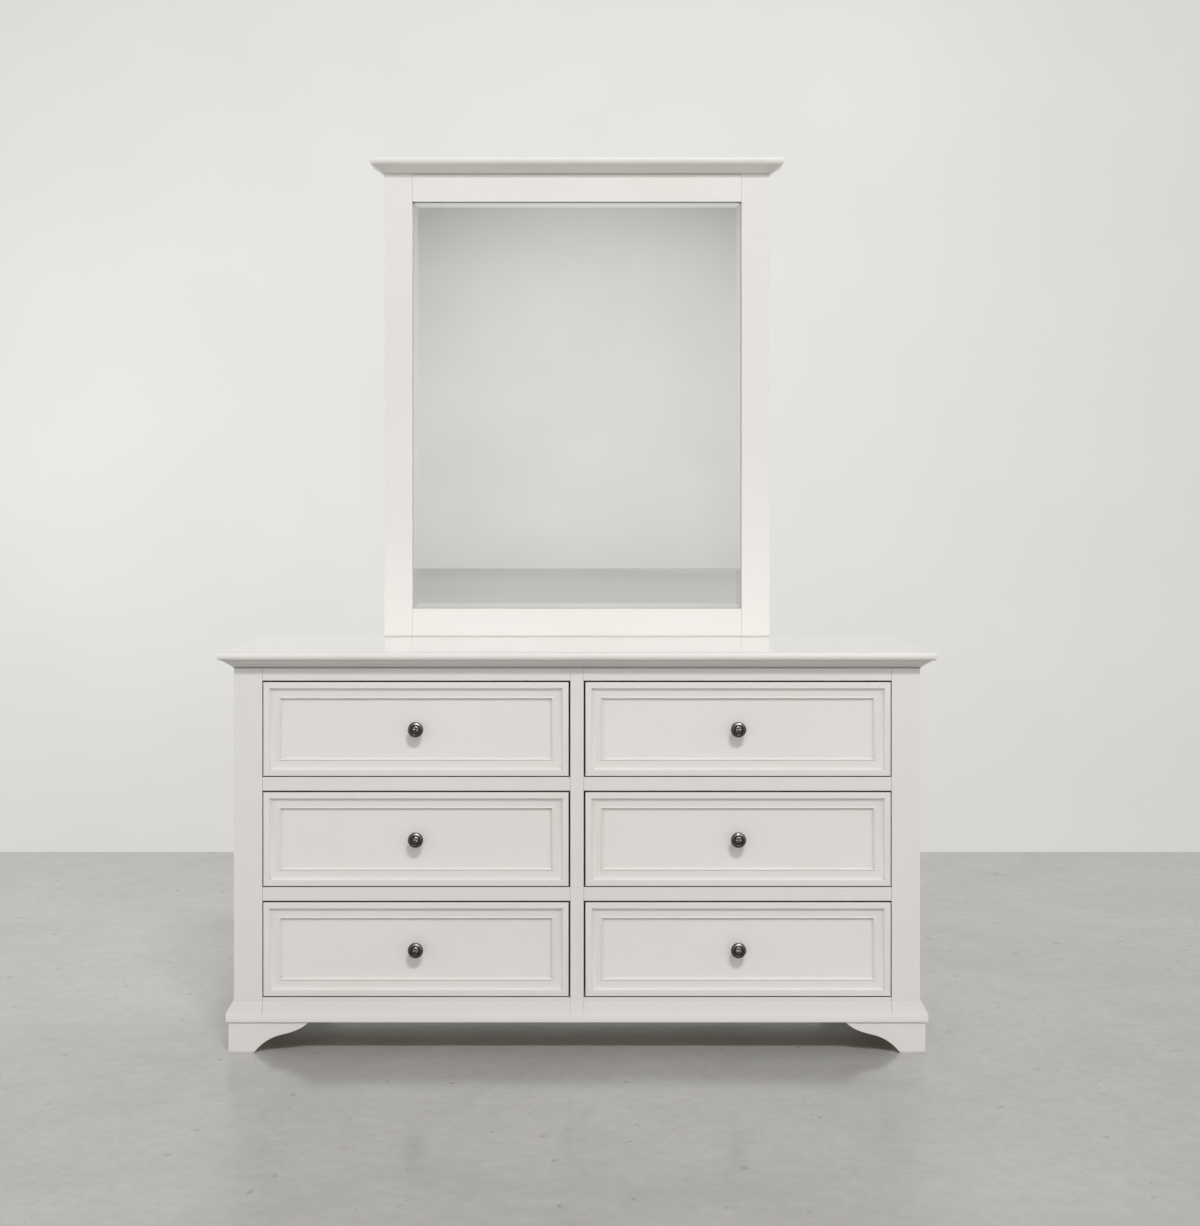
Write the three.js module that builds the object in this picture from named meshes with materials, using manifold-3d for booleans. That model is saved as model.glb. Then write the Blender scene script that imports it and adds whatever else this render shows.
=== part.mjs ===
// A six-drawer dresser with a framed mirror standing on its top, in millimetres.
// +Z is up and the drawers face -Y. The origin is on the floor, under the middle of the whole piece.
import * as THREE from 'three';
import { mergeVertices } from 'three/addons/utils/BufferGeometryUtils.js';
import Module from 'manifold-3d';

const wasm = await Module();
wasm.setup();

// Joints and running gaps
const glueLine = 0.3;
const halfGlue = glueLine / 2;
const cutOverrun = 5;

// Case
const caseWidth = 1440;
const caseDepth = 410;
const frameThickness = 20;
const endStileWidth = 60;
const centreStileWidth = 28;
const openingHeight = 202;
const middleRailHeight = 29;
const topRailReveal = 26;
const bottomRailReveal = 6.5;
const sideThickness = 18;
const partitionThickness = 16;
const backThickness = 5;
const bottomThickness = 12;
const backRailHeight = 70;
const backRailThickness = 16;

// Top, with a bullnose over a cove moulding
const topOverhang = 30;
const topThickness = 18.3;
const topNoseRadius = 8.3;
const topUnderRadius = 9.5;
const topMouldingHeight = 17.7;
const topMouldingFoot = 1.5;
const topMouldingHollow = 1;

// Base moulding: an upright lip with a flare above it that dies into the case, shallow in front
const lipSideOverhang = 16.5;
const lipFrontOverhang = 4;
const lipHeight = 17;
const flareHeight = 28.3;
const flareFoot = 0.5;
const flareSideShoulder = 2.5;
const flareFrontShoulder = 1.8;
const flareShoulderRise = 7.5;

// Bracket feet
const footSideOverhang = 11;
const footFrontOverhang = 0.5;
const footHeight = 65;
const footThickness = 20;
const footSpan = 168;
const footSole = 52.5;
const footWaistReach = 113;
const footWaistHeight = 38.8;
const footRise = 31;
const footSoleRun = 23.5;
const footTipRun = 17.4;
const footTipDrop = 18.3;
const footBlock = 50;
const footBlockLift = 4;

// Drawers
const drawerSideGap = 1.8;
const drawerCentreGap = 3.7;
const drawerTopGap = 3.2;
const drawerBottomGap = 2;
const frontThickness = 20;
const frontEase = 1;
const frontBorder = 13;
const coveRun = 12;
const coveDrop = 4;
const slopeRun = 6.2;
const slopeDrop = 0.5;
const beadWidth = 4;
const beadRise = 1.4;
const panelRun = 5.5;
const panelRecess = 8.5;
const steepShare = 0.2;
const boxHeight = 150;
const boxDepth = 360;
const boxWall = 12;
const boxBottom = 5;
const boxBottomInset = 10;
const boxBackDrop = 12;
const boxSideGap = 3;
const boxLift = 0.5;

// Runner frames, one under each drawer
const runnerWidth = 45;
const runnerThickness = 18;
const guideHeight = 20;

// Knobs, each held by a machine screw through the drawer front
const knobRadius = 15.7;
const knobProjection = 26;
const knobFootRadius = 8.5;
const knobFootHeight = 3;
const knobNeckRadius = 6;
const knobNeckHeight = 9;
const knobRimHeight = 19;
const knobRingRadius = 12;
const knobRingHeight = 24;
const knobGrooveRadius = 8;
const knobGrooveWidth = 1;
const knobGrooveDepth = 1.2;
const knobBossHeight = 25;
const screwRadius = 1.75;
const screwClearance = 0.25;
const screwHeadRadius = 4;
const screwHeadHeight = 2.5;

// Mirror
const mirrorMember = 65;
const mirrorOpeningWidth = 764;
const mirrorOpeningHeight = 945;
const mirrorFrameThickness = 34;
const mirrorLip = 8;
const mirrorRebate = 9;
const mirrorPaneGap = 2;
const glassThickness = 5;
const glassEdge = 2.5;
const glassBevel = 12.5;
const backingThickness = 4;
const crownOverhang = 31.5;
const crownHeight = 33.3;
const crownNoseRadius = 6.7;
const crownUnderRadius = 13;
const crownUnderTurn = Math.PI * 0.34;
const crownFoot = 2;
const crownStepOverhang = 10.5;
const crownStepHeight = 5;
const crownStep = 1.2;

// Battens that hold the mirror to the back of the case
const battenWidth = 50;
const battenThickness = 18;
const battenDrop = 250;
const battenRise = 560;
const battenInset = 8;
const battenEase = 6;

// Fineness of the round forms
const curveSteps = 8;
const filletSteps = 4;
const knobSegments = 24;
const screwSegments = 12;

// Heights and depths worked out from the sizes above
const columns = [
  { name: 'left', side: -1 },
  { name: 'right', side: 1 },
];
const rows = ['bottom', 'middle', 'top'];
const openingWidth = (caseWidth - 2 * endStileWidth - centreStileWidth) / 2;
const openingCentre = (centreStileWidth + openingWidth) / 2;
const halfCase = caseWidth / 2;
const lipTop = footHeight + lipHeight;
const flareTop = lipTop + flareHeight;
const firstOpening = flareTop + bottomRailReveal;
const openingPitch = openingHeight + middleRailHeight;
const lastOpeningTop = firstOpening + rows.length * openingPitch - middleRailHeight;
const mouldingBottom = lastOpeningTop + topRailReveal;
const caseTop = mouldingBottom + topMouldingHeight;
const topHeight = caseTop + topThickness;
const overallDepth = topOverhang + caseDepth + battenThickness;
const caseFront = topOverhang - overallDepth / 2;
const caseBack = caseFront + caseDepth;
const frameBack = caseFront + frameThickness;
const backPanelFront = caseBack - backThickness;
const backRailFront = backPanelFront - backRailThickness;
const mirrorFront = caseBack - mirrorFrameThickness;
const halfMirrorOpening = mirrorOpeningWidth / 2;
const halfMirror = halfMirrorOpening + mirrorMember;
const mirrorOpeningBottom = topHeight + mirrorMember;
const mirrorOpeningTop = mirrorOpeningBottom + mirrorOpeningHeight;
const mirrorTop = mirrorOpeningTop + mirrorMember;

// Materials
const material = (color, roughness, metalness) =>
  new THREE.MeshStandardMaterial({ color, roughness, metalness, flatShading: true });
const paint = material(0xe6e3dd, 0.45, 0);
const drawerWood = material(0xcdb791, 0.65, 0);
const board = material(0x9b7f5c, 0.8, 0);
const pewter = material(0x4a4844, 0.35, 0.9);
const silvered = material(0xdfe3e3, 0.03, 1);

const part = new THREE.Group();

function place(name, geometry, finish, x = 0, y = 0, z = 0) {
  const mesh = new THREE.Mesh(geometry, finish);
  mesh.name = name;
  mesh.position.set(x, y, z);
  part.add(mesh);
  return mesh;
}

// The same triangles, turned to face outwards
function facingOut(positions, triangles) {
  const point = (i) => new THREE.Vector3(...positions[i]);
  let volume = 0;
  for (let i = 0; i < triangles.length; i += 3) {
    const [a, b, c] = triangles.slice(i, i + 3).map(point);
    volume += a.dot(b.cross(c));
  }
  const faces = volume < 0 ? triangles.slice().reverse() : triangles;
  const geometry = new THREE.BufferGeometry();
  geometry.setAttribute('position', new THREE.Float32BufferAttribute(positions.flat(), 3));
  geometry.setIndex(faces);
  return geometry;
}

// A skin through rings of equal point count, closed by a flat cap at each end
function loft(rings, outline) {
  const count = outline.length;
  const triangles = [];
  for (let row = 0; row < rings.length - 1; row++) {
    for (let i = 0; i < count; i++) {
      const a = row * count + i;
      const b = row * count + ((i + 1) % count);
      triangles.push(a, b, b + count, a, b + count, a + count);
    }
  }
  const last = (rings.length - 1) * count;
  const wound = THREE.ShapeUtils.isClockWise(outline) ? [...outline].reverse() : outline;
  const turned = wound !== outline;
  for (const face of THREE.ShapeUtils.triangulateShape(wound, [])) {
    const [a, b, c] = turned ? face.map((i) => count - 1 - i) : face;
    const near = turned ? [a, b, c] : [a, c, b];
    const far = turned ? [a, c, b] : [a, b, c];
    triangles.push(...near, ...far.map((i) => last + i));
  }
  return facingOut(rings.flat(), triangles);
}

// The points of a drawn outline, without repeats
function drawn(path) {
  const points = path.getPoints(curveSteps);
  return points.filter((point, i) => point.distanceTo(points.at(i - 1)) > halfGlue);
}

// The corners of a three-sided trim round the front of a box, at an overhang and a height
function trimCorners(overhang, height, halfWidth, front, back) {
  return [
    [-halfWidth - overhang, back, height],
    [-halfWidth - overhang, front - overhang, height],
    [halfWidth + overhang, front - overhang, height],
    [halfWidth + overhang, back, height],
  ];
}

// A moulding mitred at the two front corners and cut square at the back
// Its front may have a profile of its own, with the same heights as that of its sides
function mitredMoulding(profile, halfWidth, front, back, frontProfile = profile) {
  const corners = profile.map((p, i) => {
    const [rearLeft, left, right, rearRight] = trimCorners(p.x, p.y, halfWidth, front, back);
    left[1] = front - frontProfile[i].x;
    right[1] = left[1];
    return [rearLeft, left, right, rearRight];
  });
  return loft([0, 1, 2, 3].map((i) => corners.map((c) => c[i])), profile);
}

// A solid slab whose front and sides follow an edge profile and whose back is flat
function edgedSlab(profile, halfWidth, front, back) {
  const rings = profile.map((p) => trimCorners(p.x, p.y, halfWidth, front, back));
  return loft(rings, rings[0].map(([x, y]) => new THREE.Vector2(x, y)));
}

// A pane facing -Y whose edge profile is given as inset and depth behind its face
function edgedPane(profile, width, height) {
  const rings = profile.map(({ x: inset, y: depth }) => {
    const u = width / 2 - inset;
    const v = height / 2 - inset;
    return [[-u, depth, -v], [u, depth, -v], [u, depth, v], [-u, depth, v]];
  });
  return loft(rings, rings[0].map(([x, , z]) => new THREE.Vector2(x, z)));
}

// An outline in plan, standing from one height to another
function standing(shape, low, high) {
  const geometry = new THREE.ExtrudeGeometry(shape, {
    depth: high - low, bevelEnabled: false, curveSegments: curveSteps,
  });
  return geometry.translate(0, 0, low);
}

// An outline in the X-Z plane, reaching from one depth to another
function facing(shape, front, back) {
  return standing(shape, -back, -front).rotateX(Math.PI / 2);
}

// An outline in the Y-Z plane, reaching from one side to another
function across(shape, left, right) {
  return standing(shape, left, right).rotateX(Math.PI / 2).rotateZ(Math.PI / 2);
}

function outline(points) {
  return new THREE.Shape(points.map(([x, y]) => new THREE.Vector2(x, y)));
}

// A plain board between limits on each axis, planed back by half a glue line all round
function plank([left, right], [front, back], [low, high]) {
  const geometry = new THREE.BoxGeometry(
    right - left - glueLine, back - front - glueLine, high - low - glueLine,
  );
  return geometry.translate((left + right) / 2, (front + back) / 2, (low + high) / 2);
}

function solid(geometry) {
  const bare = geometry.clone();
  bare.deleteAttribute('normal');
  bare.deleteAttribute('uv');
  const merged = mergeVertices(bare);
  return new wasm.Manifold(new wasm.Mesh({
    numProp: 3,
    vertProperties: merged.getAttribute('position').array,
    triVerts: new Uint32Array(merged.index.array),
  }));
}

function geometryOf(made) {
  const { vertProperties, triVerts } = made.getMesh();
  const geometry = new THREE.BufferGeometry();
  geometry.setAttribute('position', new THREE.BufferAttribute(vertProperties, 3));
  geometry.setIndex(new THREE.BufferAttribute(triVerts, 1));
  return geometry;
}

function joined(first, ...others) {
  return geometryOf(others.reduce((made, g) => made.add(solid(g)), solid(first)));
}

function cut(body, ...tools) {
  return geometryOf(tools.reduce((made, g) => made.subtract(solid(g)), solid(body)));
}

// The left and right limit of a piece that lies between two distances from the middle, on one side
function onSide(side, near, far) {
  return side < 0 ? [-far, -near] : [near, far];
}

function makeTop() {
  const path = new THREE.Path();
  const inner = topOverhang - topNoseRadius;
  const under = topOverhang - topUnderRadius;
  path.moveTo(under, caseTop + halfGlue);
  path.absarc(under, caseTop + halfGlue + topUnderRadius, topUnderRadius, -Math.PI / 2, 0);
  path.absarc(inner, topHeight - topNoseRadius, topNoseRadius, 0, Math.PI / 2);
  place('top_panel', edgedSlab(drawn(path), halfCase, caseFront, caseBack - halfGlue), paint);
}

function makeTopMoulding() {
  const path = new THREE.Path();
  const reach = topOverhang - topUnderRadius;
  const bottom = mouldingBottom + halfGlue;
  const top = caseTop - halfGlue;
  path.moveTo(halfGlue, bottom);
  path.lineTo(topMouldingFoot, bottom);
  path.quadraticCurveTo(
    (topMouldingFoot + reach) / 2 - topMouldingHollow, (bottom + top) / 2 + topMouldingHollow,
    reach, top,
  );
  path.lineTo(halfGlue, top);
  const strip = mitredMoulding(drawn(path), halfCase, caseFront, caseBack - halfGlue);
  place('top_moulding', strip, paint);
}

// The upper side of the base moulding, from its lip up to the face of the case
function drawFlare(path, overhang, shoulder, bottom) {
  path.lineTo(overhang, bottom);
  path.quadraticCurveTo(overhang - shoulder, bottom + flareShoulderRise, flareFoot, flareTop);
}

function baseProfile(overhang, shoulder) {
  const path = new THREE.Path();
  path.moveTo(halfGlue, footHeight + halfGlue);
  path.lineTo(overhang, footHeight + halfGlue);
  drawFlare(path, overhang, shoulder, lipTop);
  path.lineTo(halfGlue, flareTop);
  return drawn(path);
}

function makeBaseMoulding() {
  const strip = mitredMoulding(
    baseProfile(lipSideOverhang, flareSideShoulder), halfCase, caseFront, caseBack - halfGlue,
    baseProfile(lipFrontOverhang, flareFrontShoulder),
  );
  const notchHalf = (centreStileWidth + glueLine) / 2;
  const notch = facing(
    outline([
      [-notchHalf, lipTop], [notchHalf, lipTop],
      [notchHalf, flareTop + cutOverrun], [-notchHalf, flareTop + cutOverrun],
    ]),
    caseFront - lipFrontOverhang - cutOverrun, caseFront + cutOverrun,
  );
  place('base_moulding', cut(strip, notch), paint);
}

// The centre stile laps over the flare of the base moulding and ends on its lip
function makeCentreStile() {
  const shape = new THREE.Shape();
  const face = -halfGlue;
  shape.moveTo(-frameThickness + halfGlue, footHeight + halfGlue);
  shape.lineTo(face, footHeight + halfGlue);
  shape.lineTo(face, lipTop + glueLine);
  drawFlare(shape, lipFrontOverhang, flareFrontShoulder, lipTop + glueLine);
  shape.lineTo(face, flareTop);
  shape.lineTo(face, caseTop - halfGlue);
  shape.lineTo(-frameThickness + halfGlue, caseTop - halfGlue);
  const half = centreStileWidth / 2 - halfGlue;
  const stile = across(shape, -half, half).rotateZ(Math.PI);
  place('centre_stile', stile, paint, 0, caseFront);
}

function makeEndStiles() {
  for (const { name, side } of columns) {
    const width = onSide(side, halfCase - endStileWidth, halfCase);
    const stile = plank(width, [caseFront, frameBack], [footHeight, caseTop]);
    place(`front_stile_${name}`, stile, paint);
  }
}

function makeRails() {
  const rails = {
    bottom_rail: [footHeight, firstOpening],
    lower_rail: [firstOpening + openingHeight, firstOpening + openingPitch],
    upper_rail: [lastOpeningTop - openingPitch, lastOpeningTop - openingHeight],
    top_rail: [lastOpeningTop, caseTop],
  };
  for (const { name, side } of columns) {
    const length = onSide(side, centreStileWidth / 2, halfCase - endStileWidth);
    for (const [rail, height] of Object.entries(rails)) {
      place(`${rail}_${name}`, plank(length, [caseFront, frameBack], height), paint);
    }
  }
}

// The side panels stand behind the stiles and are rebated for the back panel
function makeSides() {
  const outer = halfCase - halfGlue;
  const inner = halfCase - sideThickness;
  const rebate = halfCase - sideThickness / 2;
  for (const { name, side } of columns) {
    const plan = outline([
      [side * outer, frameBack + halfGlue],
      [side * outer, caseBack - halfGlue],
      [side * rebate, caseBack - halfGlue],
      [side * rebate, backPanelFront],
      [side * inner, backPanelFront],
      [side * inner, frameBack + halfGlue],
    ]);
    place(`side_panel_${name}`, standing(plan, footHeight + halfGlue, caseTop - halfGlue), paint);
  }
}

// The partition is notched at the top for the rail along the back
function makePartition() {
  const low = firstOpening - runnerThickness + halfGlue;
  const high = caseTop - halfGlue;
  const notch = caseTop - backRailHeight - halfGlue;
  const profile = outline([
    [frameBack + halfGlue, low],
    [backPanelFront - halfGlue, low],
    [backPanelFront - halfGlue, notch],
    [backRailFront - halfGlue, notch],
    [backRailFront - halfGlue, high],
    [frameBack + halfGlue, high],
  ]);
  const half = partitionThickness / 2;
  place('centre_partition', across(profile, -half, half), board);
}

function makeBack() {
  const reach = halfCase - sideThickness / 2;
  const panel = plank([-reach, reach], [backPanelFront, caseBack], [footHeight, caseTop]);
  place('back_panel', panel, board);
  const inner = halfCase - sideThickness;
  const rail = plank([-inner, inner], [backRailFront, backPanelFront], [caseTop - backRailHeight, caseTop]);
  place('back_rail', rail, board);
}

function makeBottom() {
  const inner = halfCase - sideThickness;
  const high = firstOpening - runnerThickness;
  const panel = plank([-inner, inner], [frameBack, backPanelFront], [high - bottomThickness, high]);
  place('bottom_panel', panel, board);
}

// The ogee bracket seen from one face, with its outer corner at zero
function bracketOutline(rise) {
  const shape = new THREE.Shape();
  shape.moveTo(0, 0);
  shape.lineTo(footSole, 0);
  shape.quadraticCurveTo(footSole + footSoleRun, footRise, footWaistReach, footWaistHeight);
  shape.quadraticCurveTo(footSpan - footTipRun, rise - footTipDrop, footSpan, rise);
  shape.lineTo(0, rise);
  return shape;
}

// Two brackets meet at the corner, with a block glued inside them
function makeFeet() {
  const rise = footHeight - halfGlue;
  const bracket = bracketOutline(rise);
  const frontBoard = facing(bracket, 0, footThickness);
  const sideBoard = across(bracket, 0, footThickness);
  const inside = footThickness / 2;
  const block = standing(
    outline([
      [inside, inside], [footBlock, inside], [footBlock, footThickness],
      [footThickness, footBlock], [inside, footBlock],
    ]),
    footBlockLift, rise,
  );
  const foot = joined(frontBoard, sideBoard, block);
  const reach = halfCase + footSideOverhang;
  const ends = [
    { end: 'front', turn: 1, y: caseFront - footFrontOverhang },
    { end: 'rear', turn: -1, y: caseBack - halfGlue },
  ];
  for (const { name, side } of columns) {
    for (const { end, turn, y } of ends) {
      const geometry = foot.clone().scale(-side, turn, 1);
      const facingIn = side * turn > 0 ? turnedOver(geometry) : geometry;
      place(`foot_${end}_${name}`, facingIn, paint, side * reach, y);
    }
  }
}

// A mirrored geometry has its faces turned, and this turns them back
function turnedOver(geometry) {
  const faces = Array.from(geometry.index.array).reverse();
  geometry.setIndex(faces);
  return geometry;
}

// Two runners joined by a bar at the back, each with a guide strip beside the drawer
function makeRunnerFrames() {
  const inner = partitionThickness / 2 + halfGlue;
  const outer = halfCase - sideThickness - halfGlue;
  const near = centreStileWidth / 2;
  const far = halfCase - endStileWidth;
  const front = frameBack + halfGlue;
  const back = backRailFront - halfGlue;
  rows.forEach((row, i) => {
    const top = firstOpening + i * openingPitch - halfGlue;
    const low = top - runnerThickness + glueLine;
    for (const { name, side } of columns) {
      const plan = outline([
        [side * inner, front],
        [side * (near + runnerWidth), front],
        [side * (near + runnerWidth), back - runnerWidth],
        [side * (far - runnerWidth), back - runnerWidth],
        [side * (far - runnerWidth), front],
        [side * outer, front],
        [side * outer, back],
        [side * inner, back],
      ]);
      const strip = near - inner;
      const nearGuide = outline([
        [side * inner, front], [side * near, front], [side * near, back], [side * inner, back],
      ]);
      const farGuide = outline([
        [side * far, front], [side * (far + strip), front],
        [side * (far + strip), back], [side * far, back],
      ]);
      const frame = joined(
        standing(plan, low, top),
        standing(nearGuide, low, top + guideHeight),
        standing(farGuide, low, top + guideHeight),
      );
      place(`runner_frame_${row}_${name}`, frame, board);
    }
  });
}

// The moulded edge of a drawer front, as inset from its edge and depth behind its face
function frontProfile() {
  const path = new THREE.Path();
  const slopeStart = frontBorder + coveRun;
  const beadStart = slopeStart + slopeRun;
  const panelStart = beadStart + beadWidth;
  const slopeEnd = coveDrop + slopeDrop;
  path.moveTo(0, frontThickness - halfGlue);
  path.lineTo(0, frontEase);
  path.lineTo(frontEase, 0);
  path.lineTo(frontBorder, 0);
  path.quadraticCurveTo(frontBorder + coveRun * steepShare, coveDrop, slopeStart, coveDrop);
  path.lineTo(beadStart, slopeEnd);
  path.quadraticCurveTo(beadStart + beadWidth / 2, slopeEnd - 2 * beadRise, panelStart, slopeEnd);
  path.quadraticCurveTo(panelStart + panelRun * steepShare, panelRecess, panelStart + panelRun, panelRecess);
  return path.getPoints(filletSteps);
}

function screwHole(radius, front, back) {
  const hole = new THREE.CylinderGeometry(radius, radius, back - front, screwSegments);
  return hole.translate(0, (front + back) / 2, 0);
}

function makeDrawer(name, side, floor) {
  const width = openingWidth - drawerSideGap - drawerCentreGap;
  const height = openingHeight - drawerTopGap - drawerBottomGap;
  const x = side * (openingCentre + (drawerCentreGap - drawerSideGap) / 2);
  const z = floor + drawerBottomGap + height / 2;
  const hole = screwHole(screwRadius + screwClearance, -cutOverrun, frontThickness + boxWall + cutOverrun);
  const front = cut(edgedPane(frontProfile(), width, height), hole);
  place(`drawer_front_${name}`, front, paint, x, caseFront, z);
  place(`drawer_box_${name}`, makeBox(hole, z - floor - boxLift), drawerWood,
    x, caseFront + frontThickness, floor + boxLift);
  place(`knob_${name}`, makeKnob(), pewter, x, caseFront + panelRecess, z);
}

// An open box with its bottom raised in the walls and its back cut lower than its sides
function makeBox(hole, knobHeight) {
  const half = openingWidth / 2 - boxSideGap;
  const front = halfGlue;
  const back = boxDepth;
  const rect = (inset, low, high) => facing(
    outline([[-half + inset, low], [half - inset, low], [half - inset, high], [-half + inset, high]]),
    front + inset, back - inset,
  );
  const inside = rect(boxWall, boxBottomInset + boxBottom, boxHeight + cutOverrun);
  const underside = rect(boxWall, -cutOverrun, boxBottomInset);
  const backCut = facing(
    outline([
      [-half + boxWall, boxHeight - boxBackDrop], [half - boxWall, boxHeight - boxBackDrop],
      [half - boxWall, boxHeight + cutOverrun], [-half + boxWall, boxHeight + cutOverrun],
    ]),
    back - boxWall - cutOverrun, back + cutOverrun,
  );
  const screw = hole.clone().translate(0, 0, knobHeight);
  return cut(rect(0, 0, boxHeight), inside, underside, backCut, screw);
}

// The knob is turned about its screw: foot, neck, domed rim, ring, groove and centre boss
function makeKnob() {
  const panel = frontThickness - panelRecess;
  const inside = panel + boxWall + glueLine;
  const path = new THREE.Path();
  path.moveTo(0, inside + screwHeadHeight);
  path.lineTo(screwHeadRadius, inside + screwHeadHeight);
  path.lineTo(screwHeadRadius, inside);
  path.lineTo(screwRadius, inside);
  path.lineTo(screwRadius, -glueLine);
  path.lineTo(knobFootRadius, -glueLine);
  path.lineTo(knobFootRadius, -knobFootHeight / 2);
  path.quadraticCurveTo(knobNeckRadius, -knobFootHeight, knobNeckRadius, -knobNeckHeight);
  path.quadraticCurveTo(knobNeckRadius, -knobNeckHeight - knobFootHeight, knobRadius, -knobRimHeight);
  path.quadraticCurveTo(knobRadius, -knobRingHeight, knobRingRadius, -knobRingHeight);
  path.lineTo(knobGrooveRadius + knobGrooveWidth, -knobBossHeight);
  path.lineTo(knobGrooveRadius, -knobBossHeight + knobGrooveDepth);
  path.lineTo(knobGrooveRadius - knobGrooveWidth, -knobBossHeight);
  path.quadraticCurveTo(knobGrooveRadius / 2, -knobProjection, 0, -knobProjection);
  return new THREE.LatheGeometry(path.getPoints(filletSteps).reverse(), knobSegments);
}

// Mirror stiles and rails share one section: a thin lip in front and a rebate behind it
function makeMirrorFrame() {
  const front = mirrorFront + halfGlue;
  const back = caseBack - halfGlue;
  const lipBack = mirrorFront + mirrorLip;
  for (const { name, side } of columns) {
    const plan = outline([
      [side * halfMirror, front],
      [side * halfMirror, back],
      [side * (halfMirrorOpening + mirrorRebate), back],
      [side * (halfMirrorOpening + mirrorRebate), lipBack],
      [side * halfMirrorOpening, lipBack],
      [side * halfMirrorOpening, front],
    ]);
    place(`mirror_stile_${name}`, standing(plan, topHeight + halfGlue, mirrorTop - halfGlue), paint);
  }
  // Each rail is longer behind its lip, where it reaches into the rebates of the stiles
  const rails = { bottom: [mirrorOpeningBottom, -1], top: [mirrorOpeningTop, 1] };
  for (const [name, [sight, side]] of Object.entries(rails)) {
    const edge = sight + side * (mirrorMember - halfGlue);
    const bar = (reach, inner, near, far) => facing(
      outline([[-reach, inner], [reach, inner], [reach, edge], [-reach, edge]]), near, far,
    );
    const rail = joined(
      bar(halfMirrorOpening - glueLine, sight, front, lipBack + glueLine),
      bar(halfMirrorOpening + mirrorRebate - glueLine, sight + side * mirrorRebate, lipBack + glueLine, back),
    );
    place(`mirror_${name}_rail`, rail, paint);
  }
}

// The pane is ground to a bevel all round and its bevel bears on the lip, with a thin board behind it
function makeMirrorPane() {
  const cover = mirrorRebate - mirrorPaneGap;
  const width = mirrorOpeningWidth + 2 * cover;
  const height = mirrorOpeningHeight + 2 * cover;
  const bevelDepth = glassThickness - glassEdge;
  const depthAtLip = bevelDepth * glassBevel / (cover + glassBevel);
  const front = mirrorFront + mirrorLip + glueLine - depthAtLip;
  const middle = (mirrorOpeningBottom + mirrorOpeningTop) / 2;
  const profile = [
    new THREE.Vector2(0, glassThickness),
    new THREE.Vector2(0, bevelDepth),
    new THREE.Vector2(cover + glassBevel, 0),
  ];
  place('mirror_glass', edgedPane(profile, width, height), silvered, 0, front, middle);
  const behind = front + glassThickness + halfGlue;
  const backing = plank(
    [-width / 2, width / 2], [behind, behind + backingThickness],
    [middle - height / 2, middle + height / 2],
  );
  place('mirror_backing', backing, board);
}

function makeCrown() {
  const bottom = mirrorTop + halfGlue;
  const top = mirrorTop + crownHeight;
  const path = new THREE.Path();
  const noseHeight = top - crownNoseRadius;
  path.moveTo(crownFoot, bottom);
  path.lineTo(crownStepOverhang, bottom + crownStepHeight);
  path.lineTo(crownStepOverhang, bottom + crownStepHeight + crownStep);
  path.absarc(crownOverhang - crownUnderRadius, noseHeight, crownUnderRadius, -crownUnderTurn, 0);
  path.absarc(crownOverhang - crownNoseRadius, noseHeight, crownNoseRadius, 0, Math.PI / 2);
  const crown = edgedSlab(drawn(path), halfMirror, mirrorFront, caseBack - halfGlue);
  place('mirror_crown', crown, paint);
}

// Two battens screwed to the back of the case and of the mirror stiles
function makeBattens() {
  const near = halfMirror - battenInset - battenWidth;
  const far = halfMirror - battenInset;
  const low = topHeight - battenDrop;
  const high = topHeight + battenRise;
  for (const { name, side } of columns) {
    const shape = outline([
      [side * (near + battenEase), low], [side * (far - battenEase), low],
      [side * far, low + battenEase], [side * far, high - battenEase],
      [side * (far - battenEase), high], [side * (near + battenEase), high],
      [side * near, high - battenEase], [side * near, low + battenEase],
    ]);
    place(`mirror_support_${name}`, facing(shape, caseBack + halfGlue, caseBack + battenThickness), board);
  }
}

makeTop();
makeTopMoulding();
makeBaseMoulding();
makeCentreStile();
makeEndStiles();
makeRails();
makeSides();
makePartition();
makeBack();
makeBottom();
makeFeet();
makeRunnerFrames();
rows.forEach((row, i) => {
  for (const { name, side } of columns) {
    makeDrawer(`${row}_${name}`, side, firstOpening + i * openingPitch);
  }
});
makeMirrorFrame();
makeMirrorPane();
makeCrown();
makeBattens();

export default part;
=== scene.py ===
import math

import bmesh
import bpy
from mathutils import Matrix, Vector


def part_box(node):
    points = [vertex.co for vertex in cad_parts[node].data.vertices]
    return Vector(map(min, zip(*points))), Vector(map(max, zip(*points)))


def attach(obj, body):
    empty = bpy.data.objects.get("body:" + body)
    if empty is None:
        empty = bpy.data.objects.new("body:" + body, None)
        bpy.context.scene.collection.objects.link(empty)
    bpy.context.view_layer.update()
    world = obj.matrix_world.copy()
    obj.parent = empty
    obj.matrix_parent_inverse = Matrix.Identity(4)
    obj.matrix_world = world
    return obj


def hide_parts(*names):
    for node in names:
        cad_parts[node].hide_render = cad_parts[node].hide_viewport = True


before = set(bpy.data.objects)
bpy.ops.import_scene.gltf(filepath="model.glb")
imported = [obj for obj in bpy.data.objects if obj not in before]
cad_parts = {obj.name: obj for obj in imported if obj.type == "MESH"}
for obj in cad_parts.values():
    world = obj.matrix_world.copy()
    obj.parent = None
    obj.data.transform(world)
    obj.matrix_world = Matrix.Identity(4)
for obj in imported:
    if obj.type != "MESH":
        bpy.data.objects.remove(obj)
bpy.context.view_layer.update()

# The photograph's frame, in its own pixels
PHOTO_WIDTH = 1200
PHOTO_HEIGHT = 1226
VANISHING_X = 577
HORIZON_Y = 501
FOCAL_PIXELS = 1682.45

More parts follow.
